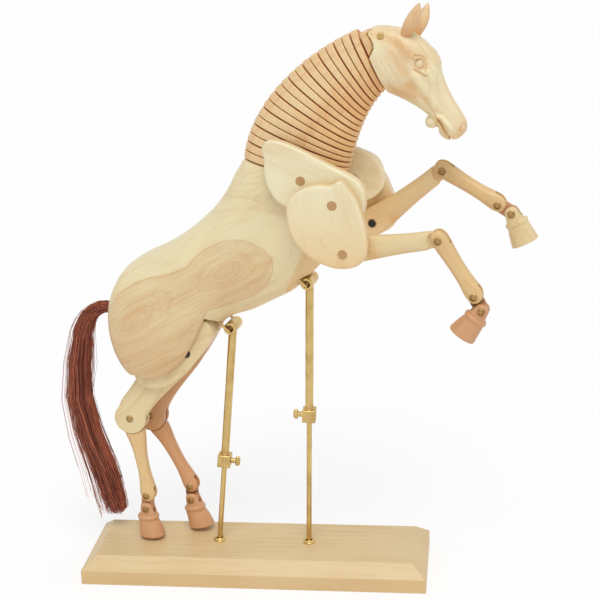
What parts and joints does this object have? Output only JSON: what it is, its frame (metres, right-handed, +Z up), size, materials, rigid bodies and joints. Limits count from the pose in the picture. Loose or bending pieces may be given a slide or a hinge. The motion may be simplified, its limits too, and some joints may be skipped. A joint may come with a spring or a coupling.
{
  "type": "artist mannequin",
  "caption": "Jointed wooden horse for drawing practice, rearing on a chamfered board with two telescopic brass posts; the neck, head, legs and hooves can be posed.",
  "frame": {"origin": "centre of the board's underside", "axes": "+X towards the board's end in front of the horse, +Z up, +Y to the horse's left; the horse itself is turned 8 degrees on the board, head towards -Y"},
  "size_m": [0.4488, 0.1264, 0.542],
  "materials": {
    "maple": "pale maple, smooth satin wax",
    "warm_maple": "warmer maple, smooth satin wax",
    "red_maple": "reddish wood, smooth satin wax",
    "dowel": "end grain of a darker dowel",
    "brass": "drawn brass, satin",
    "steel": "blackened steel",
    "hair": "long reddish brown hair"
  },
  "bodies": {
    "stand": {"base_board": "maple", "post_flanges": "brass", "front_rod": "brass"},
    "torso": {"torso": "maple", "front_tube": "brass", "front_collar": "brass", "belly_bails": "brass", "shoulder_dowels": "dowel", "hip_screws": "steel", "neck_cable": "steel", "tail": "hair"},
    "front_thumbscrew": {"front_thumbscrew": "brass"},
    "rear_tube": {"rear_tube": "brass", "rear_collar": "brass"},
    "rear_thumbscrew": {"rear_thumbscrew": "brass"},
    "rear_rod": {"rear_rod": "brass"},
    "neck_1": {"neck_discs_1": "warm_maple"},
    "neck_2": {"neck_discs_2": "warm_maple"},
    "neck_3": {"neck_discs_3": "warm_maple"},
    "neck_4": {"neck_discs_4": "warm_maple"},
    "neck_5": {"neck_discs_5": "warm_maple"},
    "neck_6": {"neck_discs_6": "warm_maple"},
    "neck_7": {"neck_discs_7": "warm_maple"},
    "neck_8": {"neck_discs_8": "warm_maple"},
    "neck_9": {"neck_discs_9": "warm_maple"},
    "neck_10": {"neck_discs_10": "warm_maple"},
    "poll": {"poll_block": "warm_maple"},
    "head": {"head": "maple", "ears": "red_maple", "head_pin": "brass"},
    "right_scapula": {"right_scapula": "maple"},
    "right_humerus": {"right_humerus": "maple", "right_humerus_dowels": "dowel"},
    "right_forearm": {"right_forearm": "maple"},
    "right_front_cannon": {"right_front_cannon": "warm_maple", "right_front_cannon_screws": "brass"},
    "right_front_pastern": {"right_front_pastern": "red_maple"},
    "right_front_hoof": {"right_front_hoof": "red_maple", "right_front_hoof_screw": "brass"},
    "right_gaskin": {"right_gaskin": "warm_maple"},
    "right_hind_cannon": {"right_hind_cannon": "warm_maple", "right_hind_cannon_screws": "brass"},
    "right_hind_pastern": {"right_hind_pastern": "red_maple"},
    "right_hind_hoof": {"right_hind_hoof": "red_maple", "right_hind_hoof_screw": "brass"},
    "left_scapula": {"left_scapula": "maple"},
    "left_humerus": {"left_humerus": "maple", "left_humerus_dowels": "dowel"},
    "left_forearm": {"left_forearm": "maple"},
    "left_front_cannon": {"left_front_cannon": "warm_maple", "left_front_cannon_screws": "brass"},
    "left_front_pastern": {"left_front_pastern": "red_maple"},
    "left_front_hoof": {"left_front_hoof": "red_maple", "left_front_hoof_screw": "brass"},
    "left_gaskin": {"left_gaskin": "warm_maple"},
    "left_hind_cannon": {"left_hind_cannon": "warm_maple", "left_hind_cannon_screws": "brass"},
    "left_hind_pastern": {"left_hind_pastern": "red_maple"},
    "left_hind_hoof": {"left_hind_hoof": "red_maple", "left_hind_hoof_screw": "brass"}
  },
  "joints": [
    {"name": "post_height", "type": "slide", "parent": "stand", "child": "torso", "axis": [0.0396, -0.0269, 0.9989], "range_m": [0, 0.04]},
    {"name": "front_thumbscrew_turn", "type": "hinge", "parent": "torso", "child": "front_thumbscrew", "pos_m": [0.05569, -0.00386, 0.1604], "axis": [-0.9992, -0.0005, 0.0396], "range_deg": [-180, 180]},
    {"name": "rear_post_lean", "type": "hinge", "parent": "torso", "child": "rear_tube", "pos_m": [-0.01329, 0.00299, 0.2463], "axis": [0.4941, -0.8684, -0.043], "range_deg": [0, 0.69]},
    {"name": "rear_thumbscrew_turn", "type": "hinge", "parent": "rear_tube", "child": "rear_thumbscrew", "pos_m": [-0.02824, 0.00122, 0.1103], "axis": [0.994, -0.0007, -0.1093], "range_deg": [-180, 180]},
    {"name": "rear_post_slide", "type": "slide", "parent": "rear_tube", "child": "rear_rod", "axis": [-0.1093, -0.013, -0.9939], "range_m": [0, 0.0399]},
    {"name": "neck_nod", "type": "hinge", "parent": "torso", "child": "neck_1", "pos_m": [0.07747, -0.00976, 0.39241], "axis": [0.1392, 0.9903, 0], "range_deg": [-0.7, 2], "deforming": ["neck_cable"]},
    {"name": "neck_turn", "type": "hinge", "parent": "neck_1", "child": "neck_2", "pos_m": [0.05935, -0.00722, 0.40831], "axis": [0.9492, -0.1334, -0.2849], "range_deg": [-1.8, 1.8]},
    {"name": "neck_nod_2", "type": "hinge", "parent": "neck_2", "child": "neck_3", "pos_m": [0.08339, -0.01059, 0.41209], "axis": [0.1392, 0.9903, 0], "range_deg": [-0.71, 2.01]},
    {"name": "neck_turn_2", "type": "hinge", "parent": "neck_3", "child": "neck_4", "pos_m": [0.06907, -0.00858, 0.4315], "axis": [0.8849, -0.1244, -0.4489], "range_deg": [-1.81, 1.81]},
    {"name": "neck_nod_3", "type": "hinge", "parent": "neck_4", "child": "neck_5", "pos_m": [0.09192, -0.01179, 0.43231], "axis": [0.1392, 0.9903, 0], "range_deg": [-0.71, 2.01]},
    {"name": "neck_turn_3", "type": "hinge", "parent": "neck_5", "child": "neck_6", "pos_m": [0.08277, -0.01051, 0.45326], "axis": [0.7866, -0.1105, -0.6075], "range_deg": [-1.81, 1.81]},
    {"name": "neck_nod_4", "type": "hinge", "parent": "neck_6", "child": "neck_7", "pos_m": [0.10297, -0.01335, 0.45166], "axis": [0.1392, 0.9903, 0], "range_deg": [-0.71, 2.01]},
    {"name": "neck_turn_4", "type": "hinge", "parent": "neck_7", "child": "neck_8", "pos_m": [0.09937, -0.01284, 0.47246], "axis": [0.6479, -0.0911, -0.7563], "range_deg": [-1.81, 1.81]},
    {"name": "neck_nod_5", "type": "hinge", "parent": "neck_8", "child": "neck_9", "pos_m": [0.11671, -0.01528, 0.46904], "axis": [0.1392, 0.9903, 0], "range_deg": [-0.71, 2.01]},
    {"name": "neck_turn_5", "type": "hinge", "parent": "neck_9", "child": "neck_10", "pos_m": [0.11854, -0.01554, 0.48849], "axis": [0.4659, -0.0655, -0.8824], "range_deg": [-1.81, 1.81]},
    {"name": "neck_nod_6", "type": "hinge", "parent": "neck_10", "child": "poll", "pos_m": [0.12914, -0.01702, 0.48022], "axis": [0.1392, 0.9903, 0], "range_deg": [-0.71, 2.01]},
    {"name": "head_nod", "type": "hinge", "parent": "poll", "child": "head", "pos_m": [0.13277, -0.01754, 0.5155], "axis": [-0.1392, -0.9903, 0], "range_deg": [-1, 5]},
    {"name": "right_shoulder_blade", "type": "hinge", "parent": "torso", "child": "right_scapula", "pos_m": [0.06171, -0.04178, 0.3955], "axis": [-0.1392, -0.9903, 0], "range_deg": [-5, 5]},
    {"name": "right_upper_arm", "type": "hinge", "parent": "right_scapula", "child": "right_humerus", "pos_m": [0.09006, -0.05809, 0.37805], "axis": [-0.1392, -0.9903, 0], "range_deg": [-10, 10]},
    {"name": "right_elbow", "type": "hinge", "parent": "right_humerus", "child": "right_forearm", "pos_m": [0.0997, -0.04712, 0.3352], "axis": [-0.1392, -0.9903, 0], "range_deg": [-25, 10]},
    {"name": "right_knee", "type": "hinge", "parent": "right_forearm", "child": "right_front_cannon", "pos_m": [0.17909, -0.05828, 0.34675], "axis": [-0.1392, -0.9903, 0], "range_deg": [-35, 35]},
    {"name": "right_front_fetlock", "type": "hinge", "parent": "right_front_cannon", "child": "right_front_pastern", "pos_m": [0.20926, -0.06252, 0.29799], "axis": [-0.1392, -0.9903, 0], "range_deg": [-25, 25]},
    {"name": "right_front_coffin", "type": "hinge", "parent": "right_front_pastern", "child": "right_front_hoof", "pos_m": [0.21575, -0.06343, 0.28539], "axis": [-0.1392, -0.9903, 0], "range_deg": [-14, 25]},
    {"name": "right_hip", "type": "hinge", "parent": "torso", "child": "right_gaskin", "pos_m": [-0.05368, -0.00486, 0.2255], "axis": [-0.1392, -0.9903, 0], "range_deg": [-5.5, 0]},
    {"name": "right_hock", "type": "hinge", "parent": "right_gaskin", "child": "right_hind_cannon", "pos_m": [-0.1165, 0.00397, 0.15278], "axis": [-0.1392, -0.9903, 0], "range_deg": [0, 24]},
    {"name": "right_hind_fetlock", "type": "hinge", "parent": "right_hind_cannon", "child": "right_hind_pastern", "pos_m": [-0.10624, 0.00252, 0.07194], "axis": [-0.1392, -0.9903, 0], "range_deg": [-8, 8]},
    {"name": "right_hind_coffin", "type": "hinge", "parent": "right_hind_pastern", "child": "right_hind_hoof", "pos_m": [-0.10761, 0.00272, 0.05781], "axis": [-0.1392, -0.9903, 0], "range_deg": [-8, 8]},
    {"name": "left_shoulder_blade", "type": "hinge", "parent": "torso", "child": "left_scapula", "pos_m": [0.07114, 0.02536, 0.3955], "axis": [-0.1392, -0.9903, 0], "range_deg": [-5, 5]},
    {"name": "left_upper_arm", "type": "hinge", "parent": "left_scapula", "child": "left_humerus", "pos_m": [0.10486, 0.03294, 0.38211], "axis": [-0.1392, -0.9903, 0], "range_deg": [-10, 10]},
    {"name": "left_elbow", "type": "hinge", "parent": "left_humerus", "child": "left_forearm", "pos_m": [0.11793, 0.01878, 0.34114], "axis": [-0.1392, -0.9903, 0], "range_deg": [-25, 8]},
    {"name": "left_knee", "type": "hinge", "parent": "left_forearm", "child": "left_front_cannon", "pos_m": [0.18114, 0.0099, 0.391], "axis": [-0.1392, -0.9903, 0], "range_deg": [-35, 35]},
    {"name": "left_front_fetlock", "type": "hinge", "parent": "left_front_cannon", "child": "left_front_pastern", "pos_m": [0.22984, 0.00305, 0.36122], "axis": [-0.1392, -0.9903, 0], "range_deg": [-25, 25]},
    {"name": "left_front_coffin", "type": "hinge", "parent": "left_front_pastern", "child": "left_front_hoof", "pos_m": [0.24187, 0.00136, 0.35386], "axis": [-0.1392, -0.9903, 0], "range_deg": [-25, 25]},
    {"name": "left_hip", "type": "hinge", "parent": "torso", "child": "left_gaskin", "pos_m": [-0.04995, 0.02168, 0.2255], "axis": [-0.1392, -0.9903, 0], "range_deg": [-8, 0]},
    {"name": "left_hock", "type": "hinge", "parent": "left_gaskin", "child": "left_hind_cannon", "pos_m": [-0.10311, 0.02915, 0.14531], "axis": [-0.1392, -0.9903, 0], "range_deg": [0, 24]},
    {"name": "left_hind_fetlock", "type": "hinge", "parent": "left_hind_cannon", "child": "left_hind_pastern", "pos_m": [-0.06747, 0.02414, 0.07218], "axis": [-0.1392, -0.9903, 0], "range_deg": [-8, 8]},
    {"name": "left_hind_coffin", "type": "hinge", "parent": "left_hind_pastern", "child": "left_hind_hoof", "pos_m": [-0.06674, 0.02404, 0.058], "axis": [-0.1392, -0.9903, 0], "range_deg": [-8, 8]}
  ],
  "couplings": [
    {"joint": "rear_post_lean", "follows": "post_height", "rad_per_m": 0.29681},
    {"joint": "rear_post_slide", "follows": "post_height", "ratio": 0.99725},
    {"joint": "neck_nod_2", "follows": "neck_nod", "ratio": 1},
    {"joint": "neck_turn_2", "follows": "neck_turn", "ratio": 1},
    {"joint": "neck_nod_3", "follows": "neck_nod", "ratio": 1},
    {"joint": "neck_turn_3", "follows": "neck_turn", "ratio": 1},
    {"joint": "neck_nod_4", "follows": "neck_nod", "ratio": 1},
    {"joint": "neck_turn_4", "follows": "neck_turn", "ratio": 1},
    {"joint": "neck_nod_5", "follows": "neck_nod", "ratio": 1},
    {"joint": "neck_turn_5", "follows": "neck_turn", "ratio": 1},
    {"joint": "neck_nod_6", "follows": "neck_nod", "ratio": 1}
  ]
}
